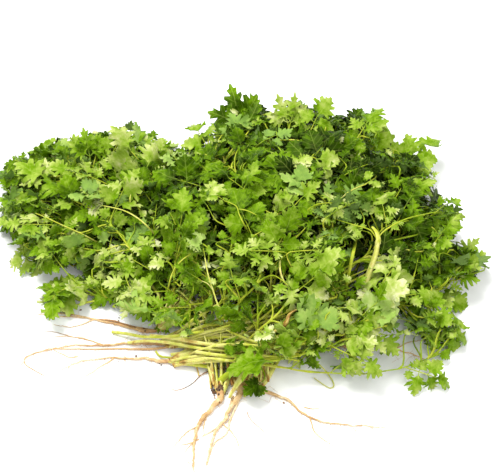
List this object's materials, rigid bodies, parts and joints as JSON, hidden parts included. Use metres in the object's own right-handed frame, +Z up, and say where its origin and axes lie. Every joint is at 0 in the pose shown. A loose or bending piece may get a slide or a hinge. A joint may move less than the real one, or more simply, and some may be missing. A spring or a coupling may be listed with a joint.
{
  "type": "coriander bunch",
  "caption": "Loose bunch of whole coriander plants lying on a table: lobed green leaves on long thin stalks that fan out from tan taproots.",
  "frame": {"origin": "middle of the underside of the bunch's box, on the table", "axes": "+X to the right along the heap of leaves, +Y away from the front roots, +Z up from the table"},
  "size_m": [0.3315, 0.315, 0.0715],
  "materials": {
    "leaf": "satin",
    "root": "matte"
  },
  "bodies": {
    "root": {"front_left_root": "root", "front_middle_root": "root", "front_right_root": "root", "right_root": "root", "back_left_root": "root", "middle_left_root": "root", "near_left_root": "root", "front_left_leafy_stem_1": "leaf", "front_left_leafy_stem_2": "leaf", "front_left_leafy_stem_3": "leaf", "front_left_leafy_stem_4": "leaf", "front_left_leafy_stem_5": "leaf", "front_left_leafy_stem_6": "leaf", "front_middle_leafy_stem_1": "leaf", "front_middle_leafy_stem_2": "leaf", "front_middle_leafy_stem_3": "leaf", "front_middle_leafy_stem_4": "leaf", "front_middle_leafy_stem_5": "leaf", "front_middle_leafy_stem_6": "leaf", "front_right_leafy_stem_1": "leaf", "front_right_leafy_stem_2": "leaf", "front_right_leafy_stem_3": "leaf", "front_right_leafy_stem_4": "leaf", "front_right_leafy_stem_5": "leaf", "front_right_leafy_stem_6": "leaf", "right_leafy_stem_1": "leaf", "right_leafy_stem_2": "leaf", "right_leafy_stem_3": "leaf", "right_leafy_stem_4": "leaf", "right_leafy_stem_5": "leaf", "right_leafy_stem_6": "leaf", "back_left_leafy_stem_1": "leaf", "back_left_leafy_stem_2": "leaf", "back_left_leafy_stem_3": "leaf", "back_left_leafy_stem_4": "leaf", "back_left_leafy_stem_5": "leaf", "back_left_leafy_stem_6": "leaf", "middle_left_leafy_stem_1": "leaf", "middle_left_leafy_stem_2": "leaf", "middle_left_leafy_stem_3": "leaf", "middle_left_leafy_stem_4": "leaf", "middle_left_leafy_stem_5": "leaf", "near_left_leafy_stem_1": "leaf", "near_left_leafy_stem_2": "leaf", "near_left_leafy_stem_3": "leaf", "near_left_leafy_stem_4": "leaf"}
  },
  "joints": []
}
